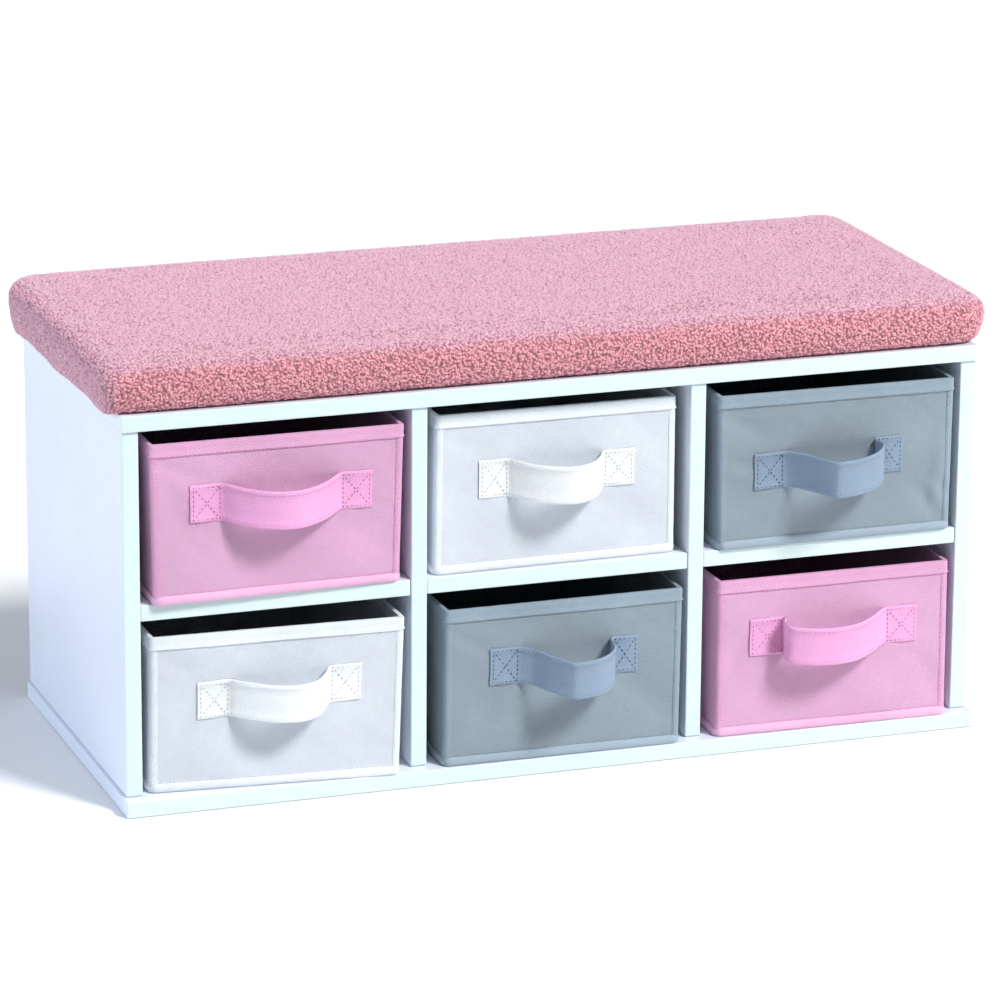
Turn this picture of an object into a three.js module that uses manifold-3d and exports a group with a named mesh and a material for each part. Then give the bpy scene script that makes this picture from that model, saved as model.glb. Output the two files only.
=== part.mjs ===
// Six-bin storage bench for a child's room, with a loose seat cushion.
// Millimetres, +Z up. X runs along the bench, the bins open towards -Y.
// The origin is on the floor, at the centre of the base panel.

import * as THREE from 'three';
import { mergeVertices } from 'three/addons/utils/BufferGeometryUtils.js';
import Module from 'manifold-3d';

const wasm = await Module();
wasm.setup();

// ---- Driving dimensions -------------------------------------------------

// Clearance between pieces that touch.
const gap = 0.3;

// Laminated boards of the carcass.
const carcassWidth = 820;
const carcassDepth = 350;
const carcassHeight = 370;
const boardThickness = 15;
const boardEdgeRadius = 1;
const shelfTopHeight = 194;
const shelfSetback = 1;
const baseFrontOverhang = 13.5;
const baseSideOverhang = 3;
const topFrontOverhang = 2.5;
const topSideOverhang = 1;

// Thin back panel, held in a groove all round.
const backThickness = 3;
const backInset = 6;
const grooveDepth = 6;

// Fasteners.
const dowelDiameter = 8;
const dowelGripInBoard = 9;
const dowelGripInEdge = 20;
const screwDiameter = 4.5;
const screwHeadDiameter = 9;
const screwHeadHeight = 3.5;
const screwHeadSunk = 1;
const screwGrip = 32;
const screwSocketDiameter = 3.5;
const screwSocketDepth = 2;
const fastenerInset = 50;
const dowelSides = 8;
const screwSides = 12;

// Fabric bins, smaller than their bays by these clearances.
const binSideClearance = 11;
const binTopClearance = 14;
const binBackClearance = 17;
const binWall = 3;
const binFloor = 2.5;
const binCornerRadius = 6;
const baseBoardThickness = 3;
const baseBoardClearance = 4;

// Strap handles sewn on the front of each bin.
const strapWidth = 35;
const strapThickness = 1.8;
const patchLength = 30;
const strapBelowRim = 57;
const strapSteps = 18;

// Seat cushion.
const cushionThickness = 44;
const cushionSideOverhang = 12;
const cushionFrontOverhang = 5.5;
const cushionBackOverhang = 10.5;
const cushionCornerRadius = 24;
const cushionEdgeHeight = 14;
const cushionEdgeRun = 11;
const coverThickness = 3;
const padLength = 50;
const padWidth = 25;
const padThickness = 1.6;
const padInset = 16;
const padCornerRadius = 3;
const padEdge = 0.3;
const zipEndMargin = 72;
const zipWidth = 8;
const zipThickness = 2;
const sliderLength = 12;
const sliderThickness = 2.5;

// ---- Places that follow from them ---------------------------------------

const baseDepth = carcassDepth + baseFrontOverhang;
const backY = baseDepth / 2;
const frontY = backY - carcassDepth;
const topUnderside = carcassHeight - boardThickness;
const uprightHeight = topUnderside - boardThickness - 2 * gap;
const uprightMiddleZ = (boardThickness + topUnderside) / 2;
const backPanelY = backY - backInset - backThickness / 2;
const bayDepth = carcassDepth - backInset - backThickness - gap;
const bayWidth = (carcassWidth - 4 * boardThickness) / 3;
const bayPitch = bayWidth + boardThickness;
const upperBayHeight = topUnderside - shelfTopHeight;
const lowerBayHeight = shelfTopHeight - 2 * boardThickness;
const sideX = carcassWidth / 2 - boardThickness / 2;
const shelfMiddleZ = shelfTopHeight - boardThickness / 2;
const binWidth = bayWidth - 2 * binSideClearance;
const binDepth = bayDepth - binBackClearance;
const binHeight = Math.min(upperBayHeight, lowerBayHeight) - binTopClearance;
const cushionLength = carcassWidth + 2 * cushionSideOverhang;
const cushionDepth = carcassDepth + cushionFrontOverhang + cushionBackOverhang;
const zipLength = cushionLength - 2 * zipEndMargin;
const fastenerRows = [
  { row: 'front', y: frontY + fastenerInset },
  { row: 'back', y: frontY + bayDepth - fastenerInset },
];
const uprights = [
  { name: 'left_side', x: -sideX },
  { name: 'left_divider', x: -bayPitch / 2 },
  { name: 'right_divider', x: bayPitch / 2 },
  { name: 'right_side', x: sideX },
];
const bays = [
  { name: 'left', x: -bayPitch },
  { name: 'centre', x: 0 },
  { name: 'right', x: bayPitch },
];

// ---- Materials ----------------------------------------------------------

function finish(color, roughness) {
  return new THREE.MeshStandardMaterial({ color, roughness, metalness: 0 });
}

const whiteLaminate = finish(0xf2f6fa, 0.4);
const whiteHardboard = finish(0xe9edf2, 0.6);
const beech = finish(0xd9b98c, 0.7);
const zincPlate = new THREE.MeshStandardMaterial({ color: 0xb9bcc0, roughness: 0.35, metalness: 1 });
const pinkBoucle = finish(0xd9a0ae, 0.95);
const foam = finish(0xf1e6c8, 0.9);
const zipTape = finish(0xd49aaa, 0.7);
const greyPad = finish(0x7d7f88, 0.9);
const greyBoard = finish(0x6e6f72, 0.9);
const pinkFabric = finish(0xe3b4d6, 0.85);
const whiteFabric = finish(0xe3eaf2, 0.85);
const greyFabric = finish(0x9cadb9, 0.85);

// ---- Solids -------------------------------------------------------------

function solidOf(geometry) {
  const bare = geometry.clone();
  bare.deleteAttribute('normal');
  bare.deleteAttribute('uv');
  const welded = mergeVertices(bare);
  return new wasm.Manifold(new wasm.Mesh({
    numProp: 3,
    vertProperties: new Float32Array(welded.attributes.position.array),
    triVerts: new Uint32Array(welded.index.array),
  }));
}

function geometryOf(solid) {
  const { vertProperties, triVerts } = solid.getMesh();
  const geometry = new THREE.BufferGeometry();
  geometry.setAttribute('position', new THREE.BufferAttribute(vertProperties, 3));
  geometry.setIndex(new THREE.BufferAttribute(triVerts, 1));
  geometry.computeVertexNormals();
  return geometry;
}

// Cuts each cutter, where it stands, out of a piece, where it stands.
function cutOut(piece, cutters) {
  piece.updateMatrixWorld();
  const toPiece = piece.matrixWorld.clone().invert();
  let solid = solidOf(piece.geometry);
  for (const cutter of cutters) {
    cutter.updateMatrixWorld();
    const placed = cutter.geometry.clone();
    placed.applyMatrix4(toPiece.clone().multiply(cutter.matrixWorld));
    solid = solid.subtract(solidOf(placed));
  }
  piece.geometry = geometryOf(solid);
}

function named(name, geometry, material) {
  const piece = new THREE.Mesh(geometry, material);
  piece.name = name;
  return piece;
}

// A rectangle about the origin with round corners.
function roundedRectangle(width, height, radius) {
  const x = width / 2 - radius;
  const y = height / 2 - radius;
  const quarter = Math.PI / 2;
  const outline = new THREE.Shape();
  outline.absarc(x, y, radius, 0, quarter);
  outline.absarc(-x, y, radius, quarter, 2 * quarter);
  outline.absarc(-x, -y, radius, 2 * quarter, 3 * quarter);
  outline.absarc(x, -y, radius, 3 * quarter, 4 * quarter);
  return outline;
}

// A slab lying flat, with its long edges rounded over by edgeHeight and edgeRun.
function slab(width, depth, thickness, radius, edgeHeight, edgeRun, steps) {
  const inner = roundedRectangle(width - 2 * edgeRun, depth - 2 * edgeRun, radius);
  const geometry = new THREE.ExtrudeGeometry(inner, {
    depth: thickness - 2 * edgeHeight,
    bevelThickness: edgeHeight,
    bevelSize: edgeRun,
    bevelSegments: steps,
    curveSegments: steps,
  });
  geometry.translate(0, 0, edgeHeight - thickness / 2);
  return geometry;
}

// ---- Carcass ------------------------------------------------------------

function board(name, width, depth, thickness, material) {
  const edge = Math.min(boardEdgeRadius, thickness / 4);
  return named(name, slab(width, depth, thickness, edge, edge, edge, 2), material);
}

function basePanel() {
  const width = carcassWidth + 2 * baseSideOverhang;
  const panel = board('base_panel', width, baseDepth, boardThickness, whiteLaminate);
  panel.position.z = boardThickness / 2;
  return panel;
}

function topPanel() {
  const width = carcassWidth + 2 * topSideOverhang;
  const depth = carcassDepth + topFrontOverhang;
  const panel = board('top_panel', width, depth, boardThickness, whiteLaminate);
  panel.position.set(0, backY - depth / 2, carcassHeight - boardThickness / 2);
  return panel;
}

function uprightPanel(name, x, depth) {
  const panel = board(name, uprightHeight, depth, boardThickness, whiteLaminate);
  panel.rotation.y = Math.PI / 2;
  panel.position.set(x, frontY + depth / 2, uprightMiddleZ);
  return panel;
}

function shelfPanel(bay) {
  const depth = bayDepth - shelfSetback;
  const panel = board(`${bay.name}_shelf`, bayWidth - 2 * gap, depth, boardThickness, whiteLaminate);
  panel.position.set(bay.x, frontY + shelfSetback + depth / 2, shelfMiddleZ);
  return panel;
}

// The back panel, or the groove that it stands in when grown by a clearance.
function backSheet(grow) {
  const width = carcassWidth - 2 * boardThickness + 2 * (grooveDepth + grow);
  const height = topUnderside - boardThickness + 2 * (grooveDepth + grow);
  const sheet = board('back_panel', width, height, backThickness + 2 * grow, whiteHardboard);
  sheet.rotation.x = Math.PI / 2;
  sheet.position.set(0, backPanelY, uprightMiddleZ);
  return sheet;
}

// ---- Fasteners ----------------------------------------------------------

function latheOf(points, sides) {
  const profile = points.map(([radius, height]) => new THREE.Vector2(radius, height));
  const geometry = new THREE.LatheGeometry(profile, sides);
  geometry.rotateX(Math.PI / 2);
  return geometry;
}

// A wooden dowel along Z about the origin, or its hole when grown.
function dowel(name, length, grow) {
  const radius = dowelDiameter / 2 + grow;
  const half = length / 2 + grow;
  const profile = [[0, -half], [radius, -half], [radius, half], [0, half]];
  return named(name, latheOf(profile, dowelSides), beech);
}

// A countersunk screw pointing up from the underside of the base, or its hole.
function baseScrew(name, grow) {
  const foot = screwHeadSunk;
  const neck = screwHeadSunk + screwHeadHeight + grow;
  const tip = boardThickness + screwGrip + grow;
  const shank = screwDiameter / 2 + grow;
  const head = screwHeadDiameter / 2 + grow;
  const socket = screwSocketDiameter / 2;
  const recess = grow > 0
    ? [[0, -grow], [head, -grow]]
    : [[0, foot + screwSocketDepth], [socket, foot + screwSocketDepth], [socket, foot]];
  const point = tip - screwDiameter;
  const profile = [...recess, [head, foot], [shank, neck], [shank, point], [0, tip]];
  return named(name, latheOf(profile, screwSides), zincPlate);
}

// Two dowels for each upright at shelf height: blind in a side, through a divider.
function shelfDowels(grow) {
  return uprights.flatMap((upright) => fastenerRows.map(({ row, y }) => {
    const atSide = upright.name.endsWith('side');
    const inward = -Math.sign(upright.x);
    const length = atSide ? dowelGripInBoard + dowelGripInEdge : boardThickness + 2 * dowelGripInEdge;
    const pin = dowel(`${upright.name}_shelf_dowel_${row}`, length, grow);
    const shift = boardThickness / 2 - dowelGripInBoard + length / 2;
    pin.rotation.y = Math.PI / 2;
    pin.position.set(upright.x + (atSide ? inward * shift : 0), y, shelfMiddleZ);
    return pin;
  }));
}

function topDowels(grow) {
  const length = dowelGripInBoard + dowelGripInEdge;
  return uprights.flatMap((upright) => fastenerRows.map(({ row, y }) => {
    const pin = dowel(`${upright.name}_top_dowel_${row}`, length, grow);
    pin.position.set(upright.x, y, topUnderside + dowelGripInBoard - length / 2);
    return pin;
  }));
}

function baseScrews(grow) {
  return uprights.flatMap((upright) => fastenerRows.map(({ row, y }) => {
    const screw = baseScrew(`${upright.name}_base_screw_${row}`, grow);
    screw.position.set(upright.x, y, 0);
    return screw;
  }));
}

function carcass() {
  const panels = {
    base: basePanel(),
    left_side: uprightPanel('left_side_panel', uprights[0].x, carcassDepth),
    left_divider: uprightPanel('left_divider', uprights[1].x, bayDepth),
    right_divider: uprightPanel('right_divider', uprights[2].x, bayDepth),
    right_side: uprightPanel('right_side_panel', uprights[3].x, carcassDepth),
    top: topPanel(),
  };
  const shelves = bays.map(shelfPanel);
  const shelfHoles = shelfDowels(gap);
  const topHoles = topDowels(gap);
  const screwHoles = baseScrews(gap);
  const groove = backSheet(gap);

  cutOut(panels.base, [groove, ...screwHoles]);
  cutOut(panels.top, [groove, ...topHoles]);
  for (const upright of uprights) {
    const own = (holes) => holes.filter((hole) => hole.name.startsWith(upright.name));
    const holes = [...own(shelfHoles), ...own(topHoles), ...own(screwHoles)];
    const grooved = upright.name.endsWith('side') ? [groove] : [];
    cutOut(panels[upright.name], [...grooved, ...holes]);
  }
  for (const shelf of shelves) {
    cutOut(shelf, shelfHoles);
  }

  const group = new THREE.Group();
  group.add(...Object.values(panels), ...shelves, backSheet(0));
  group.add(...shelfDowels(0), ...topDowels(0), ...baseScrews(0));
  return group;
}

// ---- Bins ---------------------------------------------------------------

// The straps are cut to one length, so the closer their patches are sewn, the
// further the loop reaches out: length is over the patches, reach is the loop's.
const pinkBin = { fabric: pinkFabric, length: 168, reach: 29 };
const whiteBin = { fabric: whiteFabric, length: 150, reach: 36 };
const greyBin = { fabric: greyFabric, length: 148, reach: 42 };

// standsOut is how far a bin's front is in front of the uprights' front edges, and
// sitsRight how far its middle is to the right of its bay's.
const bins = [
  { level: 'upper', bay: bays[0], kind: pinkBin, standsOut: 0, sitsRight: 0 },
  { level: 'upper', bay: bays[1], kind: whiteBin, standsOut: -12, sitsRight: 0 },
  { level: 'upper', bay: bays[2], kind: greyBin, standsOut: 1, sitsRight: 3 },
  { level: 'lower', bay: bays[0], kind: whiteBin, standsOut: -4, sitsRight: -2 },
  { level: 'lower', bay: bays[1], kind: greyBin, standsOut: 5, sitsRight: 3 },
  { level: 'lower', bay: bays[2], kind: pinkBin, standsOut: -2, sitsRight: 3 },
];

// An upright prism on a rounded rectangle, standing on z.
function prism(width, depth, height, radius, z) {
  const outline = roundedRectangle(width, depth, radius);
  const geometry = new THREE.ExtrudeGeometry(outline, { depth: height, bevelEnabled: false, curveSegments: 3 });
  geometry.translate(0, 0, z);
  return geometry;
}

function binShell(prefix, fabric) {
  const shell = named(`${prefix}_shell`, prism(binWidth, binDepth, binHeight, binCornerRadius, 0), fabric);
  const inside = named('inside', prism(
    binWidth - 2 * binWall, binDepth - 2 * binWall, binHeight, binCornerRadius - binWall, binFloor,
  ), fabric);
  cutOut(shell, [inside]);
  return shell;
}

function binBaseBoard(prefix) {
  const margin = 2 * (binWall + baseBoardClearance);
  return named(`${prefix}_base_board`, prism(
    binWidth - margin, binDepth - margin, baseBoardThickness, binCornerRadius - binWall, binFloor + gap,
  ), greyBoard);
}

// The strap in plan: a flat patch at each end, and a round loop between them.
function strapOutline(length, reach) {
  const halfChord = length / 2 - patchLength;
  const radius = (halfChord ** 2 + reach ** 2) / (2 * reach);
  const centreY = reach - radius;
  const innerRadius = radius - strapThickness;
  const outerStart = Math.asin((strapThickness - centreY) / radius);
  const innerStart = Math.asin(-centreY / innerRadius);
  const outline = new THREE.Shape();
  outline.moveTo(length / 2, 0);
  outline.lineTo(length / 2, strapThickness);
  outline.absarc(0, centreY, radius, outerStart, Math.PI - outerStart);
  outline.lineTo(-length / 2, strapThickness);
  outline.lineTo(-length / 2, 0);
  outline.absarc(0, centreY, innerRadius, Math.PI - innerStart, innerStart, true);
  return outline;
}

function binHandle(prefix, { fabric, length, reach }) {
  const geometry = new THREE.ExtrudeGeometry(strapOutline(length, reach), {
    depth: strapWidth, bevelEnabled: false, curveSegments: strapSteps,
  });
  geometry.translate(0, 0, -strapWidth / 2);
  const handle = named(`${prefix}_handle`, geometry, fabric);
  handle.rotation.z = Math.PI;
  handle.position.set(0, -binDepth / 2 - gap, binHeight - strapBelowRim);
  return handle;
}

function bin({ level, bay, kind, standsOut, sitsRight }) {
  const prefix = `${level}_${bay.name}_bin`;
  const floorZ = (level === 'upper' ? shelfTopHeight : boardThickness) + gap;
  const group = new THREE.Group();
  group.add(binShell(prefix, kind.fabric), binBaseBoard(prefix), binHandle(prefix, kind));
  group.position.set(bay.x + sitsRight, frontY - standsOut + binDepth / 2, floorZ);
  return group;
}

// ---- Cushion ------------------------------------------------------------

function cushionSlab(shrink) {
  return slab(
    cushionLength - 2 * shrink, cushionDepth - 2 * shrink, cushionThickness - 2 * shrink,
    cushionCornerRadius, cushionEdgeHeight, cushionEdgeRun, 4,
  );
}

// The zip fills a slot through the cover's back wall.
function zipStrip(grow) {
  const through = grow > 0 ? 2 * (coverThickness + cushionEdgeRun) : zipThickness;
  const shape = new THREE.BoxGeometry(zipLength + 2 * grow, through, zipWidth + 2 * grow);
  const strip = named('cushion_zip', shape, zipTape);
  strip.position.y = cushionDepth / 2 - (grow > 0 ? 0 : zipThickness / 2);
  return strip;
}

function zipSlider() {
  const shape = new THREE.BoxGeometry(sliderLength, sliderThickness, zipWidth);
  const slider = named('zip_slider', shape, zincPlate);
  slider.position.set(sliderLength / 2 - zipLength / 2, cushionDepth / 2 + gap + sliderThickness / 2, 0);
  return slider;
}

function cushionPads() {
  const x = cushionLength / 2 - cushionEdgeRun - padInset - padLength / 2;
  const y = cushionDepth / 2 - cushionEdgeRun - padInset - padWidth / 2;
  const corners = [
    { name: 'front_left', x: -x, y: -y },
    { name: 'front_right', x, y: -y },
    { name: 'back_left', x: -x, y },
    { name: 'back_right', x, y },
  ];
  return corners.map((corner) => {
    const shape = slab(padLength, padWidth, padThickness, padCornerRadius, padEdge, padEdge, 1);
    const pad = named(`${corner.name}_hook_pad`, shape, greyPad);
    pad.position.set(corner.x, corner.y, -cushionThickness / 2 - gap - padThickness / 2);
    return pad;
  });
}

function cushion() {
  const cover = named('cushion_cover', cushionSlab(0), pinkBoucle);
  const hollow = named('hollow', cushionSlab(coverThickness), pinkBoucle);
  cutOut(cover, [hollow, zipStrip(gap)]);
  const core = named('foam_core', cushionSlab(coverThickness + gap), foam);

  const group = new THREE.Group();
  group.add(cover, core, zipStrip(0), zipSlider(), ...cushionPads());
  group.position.set(
    0,
    frontY - cushionFrontOverhang + cushionDepth / 2,
    carcassHeight + 2 * gap + padThickness + cushionThickness / 2,
  );
  return group;
}

// ---- Bench --------------------------------------------------------------

const bench = new THREE.Group();
bench.add(carcass(), ...bins.map(bin), cushion());

export default bench;
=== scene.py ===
import math

import bmesh
import bpy
import numpy as np
from mathutils import Matrix, Vector


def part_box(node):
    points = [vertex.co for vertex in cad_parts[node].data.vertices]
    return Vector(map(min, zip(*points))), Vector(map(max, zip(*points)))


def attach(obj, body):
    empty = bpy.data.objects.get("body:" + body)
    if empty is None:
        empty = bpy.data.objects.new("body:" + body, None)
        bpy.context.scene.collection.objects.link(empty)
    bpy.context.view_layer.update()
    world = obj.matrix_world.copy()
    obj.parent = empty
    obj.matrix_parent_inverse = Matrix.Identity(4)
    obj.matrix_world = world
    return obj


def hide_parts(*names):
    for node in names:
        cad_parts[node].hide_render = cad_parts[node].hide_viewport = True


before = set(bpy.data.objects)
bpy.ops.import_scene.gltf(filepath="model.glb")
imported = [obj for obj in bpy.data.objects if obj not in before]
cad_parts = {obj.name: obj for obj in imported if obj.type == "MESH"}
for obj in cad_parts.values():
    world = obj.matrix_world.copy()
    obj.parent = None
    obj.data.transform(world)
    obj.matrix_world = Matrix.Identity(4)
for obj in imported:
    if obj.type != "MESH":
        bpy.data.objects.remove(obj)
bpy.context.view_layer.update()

scene = bpy.context.scene


# ---- Camera -----------------------------------------------------------------
# A long lens a little over four metres away, left of the bench's middle and
# well above the seat, turned a third of a degree on its own axis.

camera_place = (-1.5451, -4.39585, 1.5783)
camera_lens = 185.84
sensor_width = 36
camera_turn = math.radians(-19.387)
camera_tilt = math.radians(90 - 16.369)
camera_roll = math.radians(0.414)

camera_data = bpy.data.cameras.new("camera")
camera_data.sensor_width = sensor_width
camera_data.lens = camera_lens
camera = bpy.data.objects.new("camera", camera_data)
camera.matrix_world = (
    Matrix.Translation(camera_place)
    @ Matrix.Rotation(camera_turn, 4, "Z")
    @ Matrix.Rotation(camera_tilt, 4, "X")
    @ Matrix.Rotation(camera_roll, 4, "Z")
)
scene.collection.objects.link(camera)
scene.camera = camera
scene.view_settings.view_transform = "Standard"


# ---- Floor and light --------------------------------------------------------
# A plain pale studio floor and a white sky. The main light is in front, high on
# the right; a cool one is on the left, one overhead, and a small one low right.

floor_reach = 40
floor_drop = 0.0004
floor_colour = (0.87, 0.87, 0.87, 1)
sky_colour = (0.90, 0.95, 1.0, 1)
sky_strength = 0.16


def add_node(tree, kind, inputs=None, **settings):
    """Adds a node; an input is set to a value, or joined to a socket."""
    node = tree.nodes.new(kind)
    for key, value in settings.items():
        setattr(node, key, value)
    for key, value in (inputs or {}).items():
        if isinstance(value, bpy.types.NodeSocket):
            tree.links.new(value, node.inputs[key])
        else:
            node.inputs[key].default_value = value
    return node


def new_material(name, inputs):
    """A material with one Principled shader, and its node tree and shader."""
    material = bpy.data.materials.new(name)
    material.use_nodes = True
    tree = material.node_tree
    shader = tree.nodes["Principled BSDF"]
    for key, value in inputs.items():
        shader.inputs[key].default_value = value
    return material, tree, shader


def soft_light(name, colour, strength, azimuth, elevation, width):
    """A light as wide as width degrees; azimuth 0 is in front, 90 on the right."""
    data = bpy.data.lights.new(name, "SUN")
    data.color = colour
    data.energy = strength
    data.angle = math.radians(width)
    light = bpy.data.objects.new(name, data)
    light.rotation_euler = (math.radians(90 - elevation), 0, math.radians(azimuth))
    scene.collection.objects.link(light)


floor_mesh = bpy.data.meshes.new("floor")
corner_signs = ((-1, -1), (1, -1), (1, 1), (-1, 1))
floor_corners = [(x * floor_reach, y * floor_reach, -floor_drop) for x, y in corner_signs]
floor_mesh.from_pydata(floor_corners, [], [(0, 1, 2, 3)])
floor = bpy.data.objects.new("floor", floor_mesh)
scene.collection.objects.link(floor)
floor_material, _, _ = new_material("floor", {"Base Color": floor_colour, "Roughness": 0.9})
floor_mesh.materials.append(floor_material)

scene.world = bpy.data.worlds.new("studio")
scene.world.use_nodes = True
sky = scene.world.node_tree.nodes["Background"]
sky.inputs["Color"].default_value = sky_colour
sky.inputs["Strength"].default_value = sky_strength

soft_light("main_light", (1.0, 0.985, 0.97), 3.25, 34, 46, 14)
soft_light("left_light", (0.72, 0.82, 1.0), 1.8, -96, 25, 28)
soft_light("overhead_light", (0.90, 0.94, 1.0), 0.5, 10, 80, 60)

card_place = Vector((1.15, -1.05, 0.22))
card_aim = Vector((0.27, -0.17, 0.12))
card_size = 0.5
card_power = 3.4
card_data = bpy.data.lights.new("right_card", "AREA")
card_data.shape = "DISK"
card_data.size = card_size
card_data.energy = card_power
right_card = bpy.data.objects.new("right_card", card_data)
right_card.location = card_place
right_card.rotation_euler = (card_aim - card_place).to_track_quat("-Z", "Y").to_euler()
scene.collection.objects.link(right_card)


# ---- Laminated boards -------------------------------------------------------
# Base, top, four uprights and three shelves: 15 mm chipboard with white melamine
# on both faces and a glued white band on every edge, dowelled and screwed.

laminate_colour = (0.77, 0.82, 0.91, 1)
# The front edges' band is cooler and darker than the melamine: partly the band's own tone, partly painted
# shade that holds back the main light on the faces turned towards it.
shaded_edge_band_colour = (0.62, 0.76, 0.76, 1)
clouded_colour = (0.745, 0.80, 0.895, 1)
laminate_names = [
    "base_panel", "top_panel", "left_side_panel", "left_divider", "right_divider",
    "right_side_panel", "left_shelf", "centre_shelf", "right_shelf",
]


def bumped(tree, shader, height, strength, distance):
    """Gives a shader a bump from a height socket; distance is in metres."""
    bump = add_node(tree, "ShaderNodeBump", {"Height": height, "Strength": strength, "Distance": distance})
    tree.links.new(bump.outputs["Normal"], shader.inputs["Normal"])
    return bump


def grain(tree, scale, detail=2.0, roughness=0.5, stretch=(1, 1, 1), where=None):
    """Noise on the piece's own coordinates, in features of about 1/scale metres."""
    if where is None:
        where = add_node(tree, "ShaderNodeTexCoord").outputs["Object"]
    placed = add_node(tree, "ShaderNodeMapping", {"Vector": where, "Scale": stretch})
    noise = add_node(tree, "ShaderNodeTexNoise", {
        "Vector": placed.outputs["Vector"], "Scale": scale, "Detail": detail, "Roughness": roughness,
    })
    return noise.outputs["Fac"]


def spread(tree, value, low, high, from_low=0.3, from_high=0.7):
    """Maps a noise value to a range."""
    node = add_node(tree, "ShaderNodeMapRange", {
        "Value": value, "From Min": from_low, "From Max": from_high, "To Min": low, "To Max": high,
    })
    return node.outputs["Result"]


def tinted(tree, factor, first, second):
    """A colour between two, each a colour or a socket."""
    mix = add_node(tree, "ShaderNodeMix", {0: factor, 6: first, 7: second}, data_type="RGBA")
    return mix.outputs[2]


def two_tone(tree, shader, factor, first, second):
    """Colours a shader between two colours."""
    tree.links.new(tinted(tree, factor, first, second), shader.inputs["Base Color"])


def maths(tree, operation, first, second=0.0):
    """The result of a Math node on values or sockets."""
    return add_node(tree, "ShaderNodeMath", {0: first, 1: second}, operation=operation).outputs[0]


def dress(name, material):
    """Gives a part that is used as it is its material."""
    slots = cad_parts[name].data.materials
    slots.clear()
    slots.append(material)


laminate, tree, shader = new_material("white_laminate", {
    "Base Color": laminate_colour, "Specular IOR Level": 0.45,
})
face_normal = add_node(tree, "ShaderNodeSeparateXYZ", {
    "Vector": add_node(tree, "ShaderNodeNewGeometry").outputs["True Normal"],
})
faces_front = maths(tree, "LESS_THAN", face_normal.outputs["Y"], -0.9)
cloudy = grain(tree, 9.0, detail=3.0)
melamine = tinted(tree, spread(tree, cloudy, 0.0, 1.0), laminate_colour, clouded_colour)
# Faces that point to the front, the banded edges, take the band colour with its painted shade.
two_tone(tree, shader, faces_front, melamine, shaded_edge_band_colour)
tree.links.new(spread(tree, grain(tree, 60.0, detail=4.0), 0.30, 0.42), shader.inputs["Roughness"])
bumped(tree, shader, grain(tree, 850.0, detail=1.0), 0.10, 0.0002)

for name in laminate_names:
    dress(name, laminate)


# ---- Back panel -------------------------------------------------------------
# One sheet of 3 mm hardboard, painted white and slid into the groove that runs
# round the inside of the carcass. Its fibres show faintly through the paint.

hardboard, tree, shader = new_material("white_hardboard", {"Roughness": 0.6})
fibres = grain(tree, 260.0, detail=5.0, roughness=0.7, stretch=(1, 1, 0.35))
two_tone(tree, shader, spread(tree, fibres, 0, 1), (0.80, 0.82, 0.84, 1), (0.87, 0.89, 0.91, 1))
bumped(tree, shader, fibres, 0.35, 0.0003)
dress("back_panel", hardboard)


# ---- Dowels and screws ------------------------------------------------------
# Fluted beech dowels glued into the board edges, and zinc-plated countersunk
# screws driven up through the base into the foot of each upright.

beech, tree, shader = new_material("beech", {"Roughness": 0.65})
rings_of_growth = grain(tree, 420.0, detail=3.0, stretch=(0.15, 1, 0.15))
two_tone(tree, shader, spread(tree, rings_of_growth, 0, 1), (0.62, 0.43, 0.24, 1), (0.78, 0.60, 0.38, 1))
bumped(tree, shader, rings_of_growth, 0.3, 0.0002)

zinc, tree, shader = new_material("zinc_plate", {"Base Color": (0.62, 0.64, 0.66, 1), "Metallic": 1.0})
tree.links.new(spread(tree, grain(tree, 900.0, detail=3.0), 0.25, 0.5), shader.inputs["Roughness"])
bumped(tree, shader, grain(tree, 1500.0), 0.15, 0.0001)

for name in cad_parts:
    if "_dowel_" in name:
        dress(name, beech)
    elif "_screw_" in name:
        dress(name, zinc)


# ---- Bin cloth --------------------------------------------------------------
# Embossed non-woven polypropylene, in pink, white and grey. Panels are a single
# layer over grey card, so they look duller than the doubled hems and straps.

# The piping's colour is partly its doubled cloth and partly a painted highlight: it is lighter than the hem
# for the light that its rounded roll catches.
cloth_colours = {
    "pink": {
        "panel": (0.700, 0.400, 0.610, 1), "hem": (0.73, 0.385, 0.605, 1), "piping": (0.88, 0.50, 0.74, 1),
        "strap": (0.90, 0.43, 0.73, 1), "seam": (0.55, 0.24, 0.42, 1), "thread": (0.33, 0.12, 0.24, 1),
    },
    "white": {
        "panel": (0.68, 0.73, 0.80, 1), "hem": (0.80, 0.87, 0.92, 1), "piping": (0.84, 0.89, 0.94, 1),
        "strap": (0.90, 0.96, 0.97, 1), "seam": (0.60, 0.66, 0.72, 1), "thread": (0.30, 0.34, 0.42, 1),
    },
    "grey": {
        "panel": (0.275, 0.345, 0.395, 1), "hem": (0.29, 0.375, 0.445, 1), "piping": (0.36, 0.455, 0.54, 1),
        "strap": (0.27, 0.36, 0.48, 1), "seam": (0.20, 0.26, 0.31, 1), "thread": (0.030, 0.045, 0.06, 1),
    },
}
emboss_pitch = 0.0026


def shade(colour, share):
    """A colour made darker or lighter by a share."""
    return tuple(min(1.0, part * share) for part in colour[:3]) + (1,)


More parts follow.
